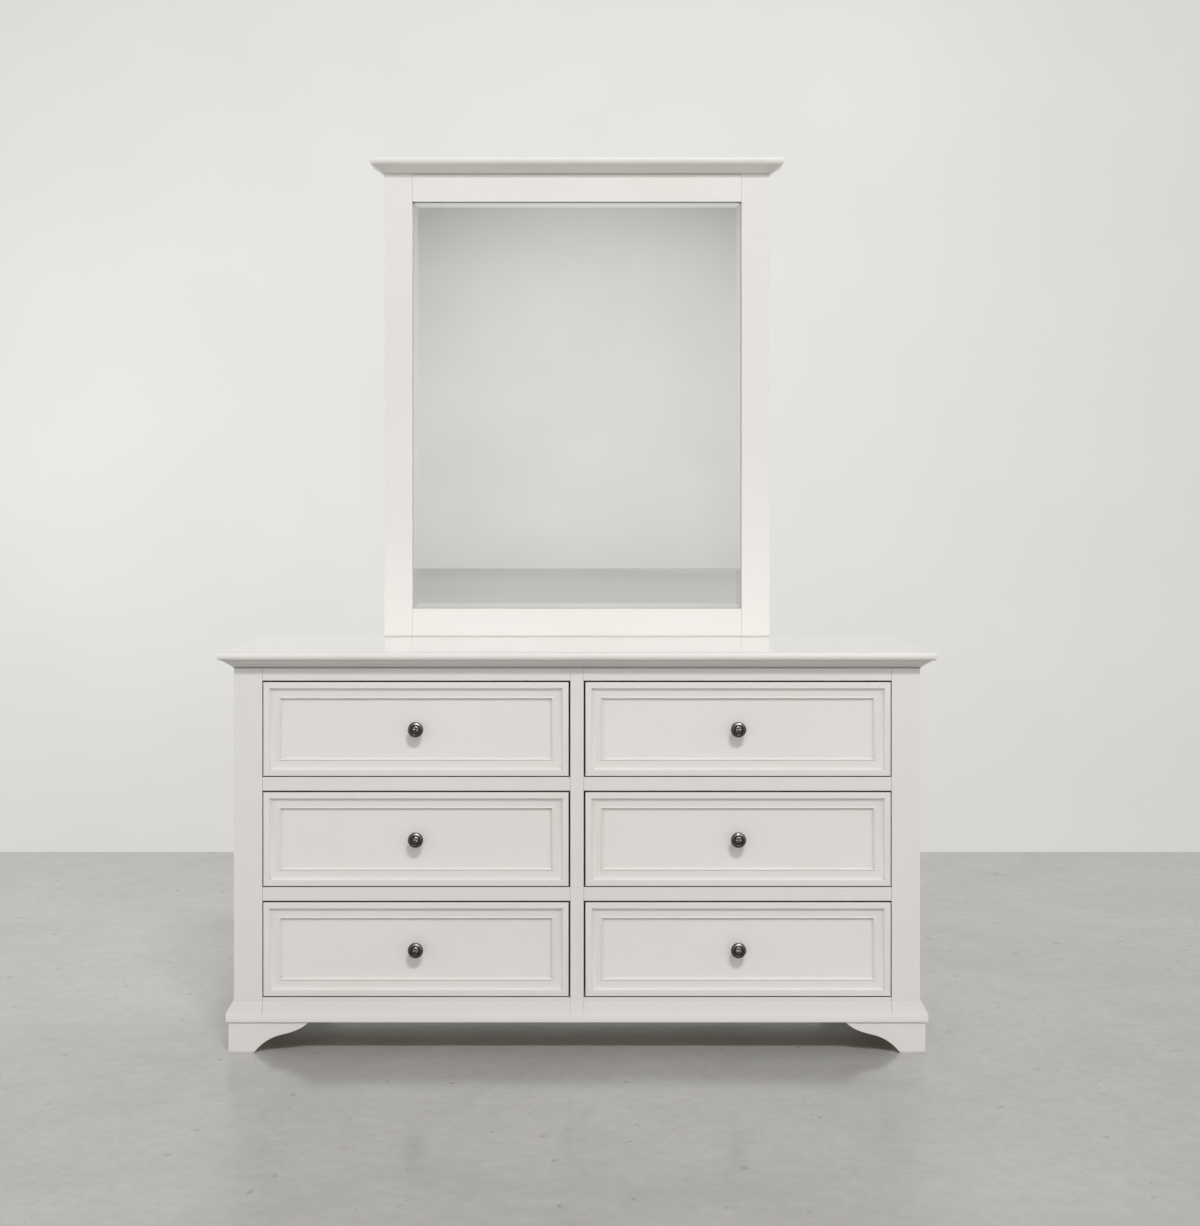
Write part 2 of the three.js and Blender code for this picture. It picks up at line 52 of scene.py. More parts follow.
# Camera, in metres, and the width of its sensor in millimetres
CAMERA_Y = -3.729
EYE_HEIGHT = 1.1578
SENSOR_WIDTH = 36.0

# Edges, curves and facets, and the usual span of a noise
SMOOTH_ANGLE = math.radians(28)
BOARD_EASE = 0.0005
MIRROR_EASE = 0.0002
EASE_SEGMENTS = 2
ARC_STEPS = 8
MERGE_DISTANCE = 0.00001
LEVEL_FACET = 0.999
NOISE_SPAN = (0.3, 0.7)

# Paint, with its colours as screen values; its lifts paint light and shade: lighter fronts and panels, a
# darker mirror frame, and a lighter polished top
PAINT_DULL = (229, 225, 220)
PAINT_FRESH = (232, 228, 224)
# The colour of the painted shade deep in crevices
PAINT_SHADOW = (26, 25, 24)
FRONT_PAINTED_LIGHT = 1
PANEL_PAINTED_LIGHT = 4
MIRROR_PAINTED_SHADE = -1
TOP_PAINTED_LIGHT = 7
PAINT_CLOUD = {"scale": 2.5, "detail": 2.0}
PAINT_PEEL = {"scale": 260.0, "detail": 2.0}
PAINT_RIPPLE = {"scale": 38.0, "detail": 3.0}
PAINT_SHEEN = {"scale": 45.0, "detail": 3.0}
PAINT_ROUGHNESS = (0.28, 0.38)
PEEL_HEIGHT = 0.000003
RIPPLE_HEIGHT = 0.000006
RUBBED_HEIGHT = 0.000002
RUBBED_ROUGHNESS = (0.05, 0.09)
SATIN_COAT = {"Coat Weight": 0.3, "Coat Roughness": 0.2}
RUBBED_COAT = {"Coat Weight": 1.0, "Coat Roughness": 0.03, "Coat IOR": 2.8}

# Crevices: how far away a wall darkens a surface, and the open shares from fully darkened to untouched;
# in the paint this darkening is painted shade
JOINT_CREVICE = (0.012, (0.1, 0.7))
FRONT_CREVICE = (0.012, (0.15, 0.8))
SOFT_CREVICE = (0.012, (0.05, 0.42))
REVEAL_CREVICE = (0.008, (0.3, 0.9))
COVE_CREVICE = (0.04, (0.1, 1.0))
KNOB_CREVICE = (0.003, (0.3, 0.8))
REBATE_CREVICE = (0.006, (0.6, 0.72))
CREVICE_SAMPLES = 8

# Planed wood
MAPLE = ((222, 203, 170), (201, 174, 134))
PINE = ((205, 176, 132), (176, 139, 92))
MAPLE_ROUGHNESS = 0.5
PINE_ROUGHNESS = 0.62
ROUGHNESS_WANDER = 0.06
GRAIN_STRETCH = 0.06
WOOD_WARP = {"scale": 5.0, "detail": 2.0}
WOOD_RINGS = {"scale": 26.0, "detail": 4.0, "roughness": 0.6, "distortion": 1.2}
WOOD_PORES = {"scale": 420.0, "detail": 2.0}
WARP_SHARE = 0.35
RING_SPAN = (0.34, 0.66)
PORE_SPAN = (0.55, 0.75)
PORE_SHADE = 0.35
PORE_HEIGHT = 0.00008
RING_HEIGHT = 0.0001

# Pressed board
FIBRE = {"scale": 180.0, "detail": 4.0, "roughness": 0.7}
FIBRE_DARK = (139, 104, 71)
FIBRE_LIGHT = (171, 135, 97)
FIBRE_STAIN = (126, 92, 62)
STAIN = {"scale": 4.0, "detail": 3.0}
STAIN_SHADE = 0.3
STAIN_SPAN = (0.4, 0.7)
FIBRE_ROUGHNESS = (0.55, 0.75)
FIBRE_HEIGHT = 0.0001

# Knob metal
PATINA = {"scale": 420.0, "detail": 4.0, "roughness": 0.65}
PATINA_SPAN = (0.35, 0.65)
METAL_DARK = (52, 50, 48)
METAL_BRIGHT = (110, 107, 102)
METAL_GRIME = (22, 21, 20)
METAL_ROUGHNESS = (0.5, 0.38)
PATINA_HEIGHT = 0.00006

# Silver of the mirror
HAZE = {"scale": 6.0, "detail": 3.0}
SILVER_DULL = (239, 238, 236)
SILVER_CLEAR = (242, 241, 239)
SILVER_EDGE = (231, 232, 229)
SILVER_ROUGHNESS = (0.0, 0.012)
MARGIN_TONE = (196, 194, 189)
MARGIN_ROUGHNESS = (0.45, 0.55)
BEVEL_BEND = 0.42

# Drawer fronts, as insets from the edge and depths behind the face
FRONT_EASE = 0.0006
FRONT_EASE_STEPS = 4
FRONT_BORDER = 0.013
COVE_RUN = 0.012
COVE_DROP = 0.0055
SLOPE_RUN = 0.0062
SLOPE_DROP = 0.0003
BEAD_WIDTH = 0.004
BEAD_RISE = 0.0014
PANEL_RUN = 0.0055
PANEL_RECESS = 0.0092
COVE_STEEP_SHARE = 0.05
PANEL_STEEP_SHARE = 0.12
ARRIS = 0.0004
ARRIS_TURN = 70
ARRIS_STEPS = 3

# Knobs, as radii and heights above the drawer panel
KNOB_RADIUS = 0.0161
KNOB_FOOT_RADIUS = 0.0085
KNOB_FOOT_HEIGHT = 0.003
KNOB_NECK_RADIUS = 0.006
KNOB_NECK_HEIGHT = 0.009
KNOB_RIM_HEIGHT = 0.019
KNOB_RIM_BEND = 0.0229
KNOB_RIM_EDGE = (0.0114, 0.0245)
KNOB_BEAD_RADIUS = 0.0007
KNOB_BEAD = (0.0107, 0.0242)
KNOB_BEAD_START = 20
KNOB_HOLLOW = (0.0092, 0.0212)
KNOB_BOSS_EDGE = (0.0080, 0.0236)
KNOB_BOSS_SHOULDER = (0.0062, 0.0250)
KNOB_BOSS_WAIST = (0.0042, 0.0246)
KNOB_BUTTON = 0.0258
KNOB_PIP_RADIUS = 0.0006
KNOB_SEGMENTS = 72
KNOB_RIM_STEPS = 10
KNOB_FACE_STEPS = 6
KNOB_BUTTON_STEPS = 4
PETALS = 8
PETAL_RELIEF = 0.0006
ROSETTE_SHARE = 0.46

# Screws behind the knobs
SCREW_RADIUS = 0.00175
SCREW_HEAD_RADIUS = 0.004
SCREW_HEAD_HEIGHT = 0.0025
SCREW_SEGMENTS = 16
SCREW_HEAD_SEGMENTS = 24

# Joints
GLUE_LINE = 0.0003
SEAM = 0.0005

# Top board and the moulding under it
TOP_OVERHANG = 0.030
TOP_NOSE_RADIUS = 0.0093
TOP_NOSE_STEPS = 12
TOP_UNDER_RADIUS = 0.0085
TOP_UNDER_STEPS = 5
TOP_MOULDING_REACH = 0.0205
TOP_MOULDING_FOOT = 0.0015
TOP_MOULDING_FILLET = 0.0004
TOP_MOULDING_QUIRK = 0.002
TOP_MOULDING_HOLLOW = 0.001
TOP_MOULDING_STEPS = 14

# Base moulding: a lip, and a flare above it
LIP_SIDE_OVERHANG = 0.0165
LIP_FRONT_OVERHANG = 0.004
LIP_HEIGHT = 0.017
FLARE_SIDE_SHOULDER = 0.0025
FLARE_FRONT_SHOULDER = 0.0018
FLARE_SHOULDER_RISE = 0.0075
FLARE_FOOT = 0.0005
FLARE_STEPS = 12
CASE_HALF_WIDTH = 0.720
END_STILE_WIDTH = 0.060
CENTRE_STILE_WIDTH = 0.028

# Crown of the mirror
CROWN_OVERHANG = 0.0315
CROWN_NOSE_RADIUS = 0.0067
CROWN_UNDER_RADIUS = 0.013
CROWN_UNDER_TURN = 61.2
CROWN_ARC_STEPS = 10
CROWN_FOOT = 0.002
CROWN_STEP_OVERHANG = 0.0105
CROWN_STEP_HEIGHT = 0.005
CROWN_STEP = 0.0012

# Mirror pane
GLASS_EDGE = 0.0025
GLASS_COVER = 0.007
GLASS_BEVEL = 0.0125

# Drawer boxes
BOX_WALL = 0.012
BOX_BOTTOM = 0.005
BOX_BOTTOM_INSET = 0.010
BOX_BACK_DROP = 0.012

# Stage
WALL_Y = 1.821
WALL_REACH = 9.0
WALL_TOP = 7.0
FAR_WALL_Y = -24.8
FAR_WALL_REACH = 14.0
FAR_WALL_TOP = 9.0
FLOOR_REACH = 14.0

# Wall: its tones, and soft painted glows and shades, each with its strength, its centre and its spans
# across and up
WALL_SHADED = (191, 189, 186)
WALL_BRIGHT = (240, 240, 238)
WALL_MATT = (226, 225, 222)
WALL_MIDDLE_GLOW = (0.8, (0.14, 1.94), (2.86, 2.92))
WALL_LEFT_GLOW = (0.39, (-1.78, 1.38), (0.77, 1.07))
WALL_TOP_GLOW = (0.084, (0.95, 2.62), (0.38, 0.35))
WALL_LOW_SHADE = (-0.085, (-1.25, 0.15), (0.4, 0.4))
WALL_GLOWS = (WALL_MIDDLE_GLOW, WALL_LEFT_GLOW, WALL_TOP_GLOW, WALL_LOW_SHADE)
WALL_NOISE = {"scale": 2.2, "detail": 5.0}
WALL_DIM = 0.078
WALL_MOTTLE = 0.026

# Far wall, as the mirror shows it, painted as a glow: its brightest place, and how it falls off from
# there
FAR_COLOR = (1.0, 0.995, 0.98, 1.0)
FAR_NOISE = {"scale": 0.9, "detail": 5.0}
FAR_LEVEL = 0.797
FAR_LOWEST = 0.45
FAR_MOTTLE = 0.012
FAR_CENTRE = (0.2, 1.95)
FAR_SPAN = 10.4
FAR_RISE = 6.18
FAR_CURVE = 4.0
FAR_DROP = 6.76
FAR_CORNER = 0.061

# Floor: its clouds, blotches and mottling
FLOOR_CLOUD = {"scale": 1.6, "detail": 6.0, "roughness": 0.6, "distortion": 0.6}
FLOOR_BLOTCH = {"scale": 7.0, "detail": 6.0, "roughness": 0.65}
FLOOR_MOTTLE = {"scale": 30.0, "detail": 7.0, "roughness": 0.8}
FLOOR_DARK = (177, 176, 172)
FLOOR_LIGHT = (188, 187, 183)
CLOUD_SPAN = (0.35, 0.65)
BLOTCH_TONE = (196, 195, 192)
BLOTCH_SHADE = 0.4
BLOTCH_SPAN = (0.42, 0.72)
MOTTLE_TONE = (156, 153, 148)
MOTTLE_SHADE = 0.36
MOTTLE_SPAN = (0.34, 0.66)
FLOOR_ROUGHNESS = (0.14, 0.2)
FLOOR_HEIGHT = 0.00025
FLOOR_IOR = 1.75

# Pits in the floor, of two kinds, each with its scale and its rarity
PIT_KINDS = ((6.0, 0.6), (15.0, 0.8))
PIT_NOISE = {"Scale": 90.0, "Detail": 2.0}
PIT_TONE = (96, 92, 87)
PIT_SHADE = 0.42
PIT_WANDER = 0.03
PIT_LIMITS = (0.01, 0.05)

# Floor, with painted light and shade: levels of its colour between two places, a pool of shade, and soft
# glows and shades
FLOOR_DEPTH_LEVELS = (0.97, 1.12, -1.0, 0.9)
FLOOR_SIDE_LEVELS = (1.07, 0.94, -1.5, 1.3)
POOL_LEVEL = 0.925
POOL_HALF_WIDTH = (0.57, 0.69)
POOL_DEPTH = (-0.3, 0.1)
BESIDE_GLOW = (0.34, (-0.84, 0.6), (0.13, 0.2))
FAR_LEFT_GLOW = (0.035, (-1.4, 1.2), (0.5, 0.6))
FAR_RIGHT_GLOW = (0.03, (1.27, 1.4), (0.4, 0.5))
RIGHT_SHADE = (-0.03, (1.1, -0.05), (0.4, 0.3))
NEAR_SHADE = (-0.04, (-0.52, -0.55), (0.3, 0.35))
NEAR_LEFT_SHADE = (-0.05, (-0.95, -0.9), (0.2, 0.15))
NEAR_RIGHT_GLOW = (0.13, (0.66, -0.93), (0.14, 0.12))
FRONT_SHADE = (-0.07, (0.0, -0.24), (0.6, 0.12))
FLOOR_GLOWS = (
    BESIDE_GLOW, FAR_LEFT_GLOW, FAR_RIGHT_GLOW, RIGHT_SHADE,
    NEAR_SHADE, NEAR_LEFT_SHADE, NEAR_RIGHT_GLOW, FRONT_SHADE,
)

# Far floor, as the mirror shows it, painted as a glow
FAR_FLOOR_START = -8.0
FAR_FLOOR_DEPTH = 9.0
FAR_FLOOR_COLOR = (1.0, 0.995, 0.975, 1.0)
FAR_FLOOR_LEVELS = (0.545, 0.61, FAR_WALL_Y, FAR_WALL_Y + FAR_FLOOR_DEPTH)
FAR_FLOOR_SIDE_LEVELS = (0.9, 1.0, -2.2, -0.9)
STREAK_STRETCH = (0.12, 0.4, 1.0)
STREAKS = {"scale": 1.4, "detail": 4.0}
STREAK_LEVELS = (0.965, 1.035)

# Light
LAMP_TARGET = (0.0, -0.2, 0.9)
LAMP_PLACE = (1.15, -5.8, 7.3)
LAMP_WIDTH = 2.3
LAMP_HEIGHT = 0.85
LAMP_POWER = 400.0
GLINT_SHARE = 0.2
KNOB_GLINT_SHARE = 4.5
SHEEN_POWER = 0.62
SHEEN_LIFT = 0.004
UNDER_POWER = 0.2
UNDER_TINT = (0.75, 0.92, 1.0)
UNDER_SIZE = (1.3, 0.2)
UNDER_PLACE = (0.0, 0.015, 0.058)
SKY_COLOR = (0.98, 0.99, 1.0, 1.0)
SKY_TOP = 0.32
SKY_FALL = 1.02
SKY_CURVE = 2.0

ROWS = ("bottom", "middle", "top")
COLUMNS = {"left": -1, "right": 1}


class Shader:
    """A material whose nodes are added one by one."""

    def __init__(self, name):
        self.material = bpy.data.materials.new(name)
        self.material.use_nodes = True
        self.tree = self.material.node_tree
        self.tree.nodes.clear()

    def add(self, kind, inputs=None, **settings):
        node = self.tree.nodes.new("ShaderNode" + kind)
        for key, value in settings.items():
            setattr(node, key, value)
        for key, value in (inputs or {}).items():
            if isinstance(value, bpy.types.NodeSocket):
                self.tree.links.new(value, node.inputs[key])
            else:
                node.inputs[key].default_value = value
        return node

    def place(self, stretch=(1.0, 1.0, 1.0)):
        """The piece's own coordinates in metres, stretched on each axis."""
        where = self.add("TexCoord").outputs["Object"]
        return self.add("Mapping", {"Vector": where, "Scale": stretch}).outputs["Vector"]

    def noise(self, where, scale, detail=3.0, roughness=0.5, distortion=0.0):
        inputs = {
            "Vector": where, "Scale": scale, "Detail": detail,
            "Roughness": roughness, "Distortion": distortion,
        }
        return self.add("TexNoise", inputs).outputs["Fac"]

    def spread(self, value, low, high, from_low=0.0, from_high=1.0):
        """Maps a value from one span to another, and holds it within."""
        inputs = {
            "Value": value, "From Min": from_low, "From Max": from_high,
            "To Min": low, "To Max": high,
        }
        return self.add("MapRange", inputs).outputs["Result"]

    def blend(self, share, first, second):
        """A colour between two, each a colour or a socket."""
        node = self.add("Mix", data_type="RGBA")
        for key, value in zip((0, 6, 7), (share, first, second)):
            if isinstance(value, bpy.types.NodeSocket):
                self.tree.links.new(value, node.inputs[key])
            else:
                node.inputs[key].default_value = value
        return node.outputs[2]

    def math(self, operation, first, second=0.0):
        return self.add("Math", {0: first, 1: second}, operation=operation).outputs["Value"]

    def product(self, first, second):
        return self.math("MULTIPLY", first, second)

    def axes(self, direction=None):
        """The three parts of a direction, or of the place on the piece."""
        if direction is None:
            direction = self.add("TexCoord").outputs["Object"]
        return self.add("SeparateXYZ", {"Vector": direction}).outputs

    def mixed(self, share, first, second):
        """A surface between two."""
        return self.add("MixShader", {0: share, 1: first, 2: second}).outputs["Shader"]

    def principled(self, inputs):
        return self.add("BsdfPrincipled", inputs).outputs["BSDF"]

    def pits(self, where, scale, rarity):
        """1 in small uneven pits scattered over a surface, 0 between them."""
        wander = self.add("TexNoise", {"Vector": where, **PIT_NOISE}).outputs["Color"]
        around = self.add(
            "VectorMath", {0: wander, 1: (PIT_WANDER,) * 3, 2: where}, operation="MULTIPLY_ADD",
        ).outputs["Vector"]
        inputs = {"Vector": around, "Scale": scale}
        cell = self.add("TexVoronoi", inputs, voronoi_dimensions="2D").outputs
        share = self.add("SeparateColor", {"Color": cell["Color"]}).outputs["Red"]
        hollow = self.spread(cell["Distance"], 1.0, 0.0, *PIT_LIMITS)
        return self.product(hollow, self.math("GREATER_THAN", share, rarity))

    def crevice(self, reach, limits):
        """0 deep in a narrow gap, 1 on open surfaces."""
        node = self.add(
            "AmbientOcclusion", {"Distance": reach}, samples=CREVICE_SAMPLES, only_local=False,
        )
        return self.spread(node.outputs["AO"], 0.0, 1.0, *limits)

    def bump(self, height, distance, under=None):
        """A normal bent by a height, on top of another one."""
        inputs = {"Height": height, "Distance": distance, "Strength": 1.0}
        if under is not None:
            inputs["Normal"] = under
        return self.add("Bump", inputs).outputs["Normal"]

    def finish(self, surface):
        output = self.add("OutputMaterial")
        self.tree.links.new(surface, output.inputs["Surface"])
        return self.material


def tone(red, green, blue, lift=0):
    """A colour given by its screen values, lifted alike, as the linear colour that a shader takes."""
    def linear(value):
        share = (value + lift) / 255
        return share / 12.92 if share <= 0.04045 else ((share + 0.055) / 1.055) ** 2.4
    return (linear(red), linear(green), linear(blue), 1.0)


def painted_wood(name, *crevices, lift=0, rubbed=False):
    """Sprayed satin paint: faint clouding, orange peel and a little grain that shows through, with
    painted shade in its crevices, lifted lighter or darker as painted light and shade.

    Where it is rubbed, its level surface is polished to a gloss, in a colour lifted lighter as painted
    light and kept clear of the painted crevice shade.
    """
    s = Shader(name)
    where = s.place()
    share = s.spread(s.noise(where, **PAINT_CLOUD), 0.0, 1.0, *NOISE_SPAN)
    # The lift makes this copy of the paint lighter or darker as painted light and shade
    color = s.blend(share, tone(*PAINT_DULL, lift), tone(*PAINT_FRESH, lift))
    # Painted shade: the paint darkens towards black deep in its crevices
    for crevice in crevices:
        color = s.blend(s.crevice(*crevice), tone(*PAINT_SHADOW), color)
    peel = s.noise(where, **PAINT_PEEL)
    ripple = s.noise(where, **PAINT_RIPPLE)
    satin = s.principled({
        "Base Color": color,
        "Roughness": s.spread(s.noise(where, **PAINT_SHEEN), *PAINT_ROUGHNESS),
        "Normal": s.bump(ripple, RIPPLE_HEIGHT, under=s.bump(peel, PEEL_HEIGHT)),
        **SATIN_COAT,
    })
    if not rubbed:
        return s.finish(satin)
    # The polished level top takes a further lift of painted light, without the painted crevice shade
    gloss = s.principled({
        "Base Color": s.blend(share, tone(*PAINT_DULL, TOP_PAINTED_LIGHT), tone(*PAINT_FRESH, TOP_PAINTED_LIGHT)),
        "Roughness": s.spread(ripple, *RUBBED_ROUGHNESS),
        "Normal": s.bump(ripple, RUBBED_HEIGHT),
        **RUBBED_COAT,
    })
    facet = s.axes(s.add("NewGeometry").outputs["True Normal"])["Z"]
    return s.finish(s.mixed(s.math("GREATER_THAN", facet, LEVEL_FACET), satin, gloss))


def wood(name, tones, along, roughness):
    """Planed wood with its grain along one axis."""
    s = Shader(name)
    light, dark = (tone(*values) for values in tones)
    stretch = [1.0, 1.0, 1.0]
    stretch["XYZ".index(along)] = GRAIN_STRETCH
    where = s.place(stretch)
    warp = s.noise(where, **WOOD_WARP)
    rings = s.noise(where, **WOOD_RINGS)
    pores = s.noise(where, **WOOD_PORES)
    share = s.math("ADD", s.product(warp, WARP_SHARE), s.product(rings, 1 - WARP_SHARE))
    color = s.blend(s.spread(share, 0.0, 1.0, *RING_SPAN), light, dark)
    color = s.blend(s.spread(pores, 0.0, PORE_SHADE, *PORE_SPAN), color, dark)
    return s.finish(s.principled({
        "Base Color": color,
        "Roughness": s.spread(rings, roughness - ROUGHNESS_WANDER, roughness + ROUGHNESS_WANDER),
        "Normal": s.bump(pores, PORE_HEIGHT, under=s.bump(rings, RING_HEIGHT)),
    }))


def hardboard():
    """Thin pressed board: speckled fibres."""
    s = Shader("backing_board")
    where = s.place()
    fibre = s.noise(where, **FIBRE)
    color = s.blend(s.spread(fibre, 0.0, 1.0, *NOISE_SPAN), tone(*FIBRE_DARK), tone(*FIBRE_LIGHT))
    stain = s.spread(s.noise(where, **STAIN), 0.0, STAIN_SHADE, *STAIN_SPAN)
    return s.finish(s.principled({
        "Base Color": s.blend(stain, color, tone(*FIBRE_STAIN)),
        "Roughness": s.spread(fibre, *FIBRE_ROUGHNESS),
        "Normal": s.bump(fibre, FIBRE_HEIGHT),
    }))


def knob_metal():
    """Dark antique pewter, rubbed brighter in clouds."""
    s = Shader("knob_metal")
    patina = s.noise(s.place(), **PATINA)
    color = s.blend(s.spread(patina, 0.0, 1.0, *PATINA_SPAN), tone(*METAL_DARK), tone(*METAL_BRIGHT))
    return s.finish(s.principled({
        "Base Color": s.blend(s.crevice(*KNOB_CREVICE), tone(*METAL_GRIME), color),
        "Metallic": 1.0,
        "Roughness": s.spread(patina, *METAL_ROUGHNESS, *NOISE_SPAN),
        "Normal": s.bump(patina, PATINA_HEIGHT),
    }))


def mirror_silver():
    """Silvered glass with the faintest haze, and a matt margin where the silver stops at the rebate.

    Its ground edge bends the picture towards the middle and dims it a little.
    """
    s = Shader("mirror_silver")
    haze = s.noise(s.place(), **HAZE)
    color = s.blend(s.spread(haze, 0.0, 1.0, *NOISE_SPAN), tone(*SILVER_DULL), tone(*SILVER_CLEAR))
    facet = s.add("NewGeometry").outputs["Normal"]
    forward = s.math("ABSOLUTE", s.axes(facet)["Y"])
    turned = s.add("VectorMath", {0: facet, 1: (-BEVEL_BEND,) * 3}, operation="MULTIPLY").outputs[0]
    bent = s.add("VectorMath", {0: turned, 1: (0.0, -1.0 - BEVEL_BEND, 0.0)}, operation="ADD").outputs[0]
    silver = s.principled({
        "Base Color": s.blend(s.math("GREATER_THAN", forward, LEVEL_FACET), tone(*SILVER_EDGE), color),
        "Metallic": 1.0, "Normal": bent,
        "Roughness": s.spread(haze, *SILVER_ROUGHNESS, *NOISE_SPAN),
    })
    margin = s.principled({
        "Base Color": tone(*MARGIN_TONE), "Roughness": s.spread(haze, *MARGIN_ROUGHNESS),
    })
    return s.finish(s.mixed(s.crevice(*REBATE_CREVICE), margin, silver))


def shown_and_reflected(s):
    """1 for what the camera, gloss and clear glass see, 0 for the light that falls on things."""
    path = s.add("LightPath").outputs
    share = s.math("MAXIMUM", path["Is Camera Ray"], path["Is Glossy Ray"])
    return s.math("MAXIMUM", share, path["Is Transmission Ray"])


def glow(s, plane, strength, centre, spans):
    """A soft glow on a plane given by its two axes, strongest at its centre."""
    axes = s.axes()
    away = 1.0
    for axis, middle, span in zip(plane, centre, spans):
        offset = s.math("DIVIDE", s.math("SUBTRACT", axes[axis], middle), span)
        away = s.math("ADD", away, s.product(offset, offset))
    return s.math("DIVIDE", strength, away)


def with_glows(s, plane, level, glows):
    for strength, centre, spans in glows:
        level = s.math("ADD", level, glow(s, plane, strength, centre, spans))
    return level


def wall_finish():
    """A pale wall painted as a soft glow towards its middle, with painted shade low on its left, and open
    from behind.
    """
    s = Shader("stage_wall")
    mottle = s.noise(s.place(), **WALL_NOISE)
    share = s.spread(mottle, -WALL_MOTTLE - WALL_DIM, WALL_MOTTLE - WALL_DIM, *NOISE_SPAN)
    color = s.blend(with_glows(s, "XZ", share, WALL_GLOWS), tone(*WALL_SHADED), tone(*WALL_BRIGHT))
    lit = s.add("Emission", {"Color": color}).outputs["Emission"]
    matt = s.add("BsdfDiffuse", {"Color": tone(*WALL_MATT)}).outputs["BSDF"]
    front = s.mixed(shown_and_reflected(s), matt, lit)
    behind = s.add("NewGeometry").outputs["Backfacing"]
    return s.finish(s.mixed(behind, front, s.add("BsdfTransparent").outputs["BSDF"]))


def far_wall_finish():
    """The far side of the room, which only the mirror sees: a painted glow, brightest at the height of
    the eye.
    """
    s = Shader("stage_far_wall")
    axes = s.axes()
    side = s.math("DIVIDE", s.math("SUBTRACT", axes["X"], FAR_CENTRE[0]), FAR_SPAN)
    rise = s.math("SUBTRACT", axes["Z"], FAR_CENTRE[1])
    above = s.math("MAXIMUM", rise, 0.0)
    below = s.math("DIVIDE", s.math("MINIMUM", rise, 0.0), FAR_DROP)
    corner = s.math("ADD", s.product(s.product(above, above), FAR_CORNER), 1.0)
    fall = s.product(s.product(side, side), corner)
    fall = s.math("ADD", fall, s.math("POWER", s.math("DIVIDE", above, FAR_RISE), FAR_CURVE))
    fall = s.math("ADD", fall, s.product(below, below))
    mottle = s.spread(s.noise(s.place(), **FAR_NOISE), -FAR_MOTTLE, FAR_MOTTLE, *NOISE_SPAN)
    level = s.math("SUBTRACT", s.math("ADD", FAR_LEVEL, mottle), fall)
    inputs = {"Color": FAR_COLOR, "Strength": s.math("MAXIMUM", level, FAR_LOWEST)}
    shine = s.add("Emission", inputs).outputs["Emission"]
    clear = s.add("BsdfTransparent").outputs["BSDF"]
    return s.finish(s.mixed(s.add("LightPath").outputs["Is Glossy Ray"], clear, shine))


def floor_level(s, axes):
    """How light the floor is painted: a pool of painted shade before the dresser, and soft painted
    patches of light and shade.
    """
    level = s.product(s.spread(axes["Y"], *FLOOR_DEPTH_LEVELS), s.spread(axes["X"], *FLOOR_SIDE_LEVELS))
    aside = s.spread(s.math("ABSOLUTE", axes["X"]), 0.0, 1.0, *POOL_HALF_WIDTH)
    behind = s.spread(axes["Y"], 0.0, 1.0, *POOL_DEPTH)
    level = s.product(level, s.spread(s.math("MAXIMUM", aside, behind), POOL_LEVEL, 1.0))
    return s.product(level, with_glows(s, "XY", 1.0, FLOOR_GLOWS))


def far_floor(s, axes):
    """The floor at the far side of the room, as the mirror shows it: a painted glow, dimmer towards the
    far wall and on the left, with streaks.
    """
    level = s.spread(axes["Y"], *FAR_FLOOR_LEVELS)
    level = s.product(level, s.spread(axes["X"], *FAR_FLOOR_SIDE_LEVELS))
    streaks = s.noise(s.place(STREAK_STRETCH), **STREAKS)
    level = s.product(level, s.spread(streaks, *STREAK_LEVELS, *NOISE_SPAN))
    return s.add("Emission", {"Color": FAR_FLOOR_COLOR, "Strength": level}).outputs["Emission"]


def floor_finish():
    """Polished concrete: cloudy greys, small pits and a soft gloss, with painted light and shade that
    darken it in front of the dresser.
    """
    s = Shader("stage_floor")
    where = s.place()
    cloud = s.noise(where, **FLOOR_CLOUD)
    blotch = s.noise(where, **FLOOR_BLOTCH)
    mottle = s.noise(where, **FLOOR_MOTTLE)
    color = s.blend(s.spread(cloud, 0.0, 1.0, *CLOUD_SPAN), tone(*FLOOR_DARK), tone(*FLOOR_LIGHT))
    color = s.blend(s.spread(blotch, 0.0, BLOTCH_SHADE, *BLOTCH_SPAN), color, tone(*BLOTCH_TONE))
    color = s.blend(s.spread(mottle, MOTTLE_SHADE, 0.0, *MOTTLE_SPAN), color, tone(*MOTTLE_TONE))
    pits = s.math("MAXIMUM", *(s.pits(where, *kind) for kind in PIT_KINDS))
    color = s.blend(s.product(pits, PIT_SHADE), color, tone(*PIT_TONE))
    axes = s.axes()
    # The colour is scaled by painted light and shade across the floor
    inputs = {0: color, "Scale": floor_level(s, axes)}
    near = s.principled({
        "Base Color": s.add("VectorMath", inputs, operation="SCALE").outputs["Vector"],
        "Roughness": s.spread(cloud, *FLOOR_ROUGHNESS, *NOISE_SPAN),
        "Normal": s.bump(s.math("SUBTRACT", blotch, pits), FLOOR_HEIGHT),
        "IOR": FLOOR_IOR,
    })
    # Beyond this, reflections see the painted glow of the far floor
    beyond = s.math("LESS_THAN", axes["Y"], FAR_FLOOR_START)
    mirrored = s.product(beyond, s.add("LightPath").outputs["Is Glossy Ray"])
    return s.finish(s.mixed(mirrored, near, far_floor(s, axes)))


def mesh_object(name, vertices, faces, material):
    mesh = bpy.data.meshes.new(name)
    mesh.from_pydata(vertices, [], faces)
    mesh.materials.append(material)
    obj = bpy.data.objects.new(name, mesh)
    bpy.context.scene.collection.objects.link(obj)
    return obj


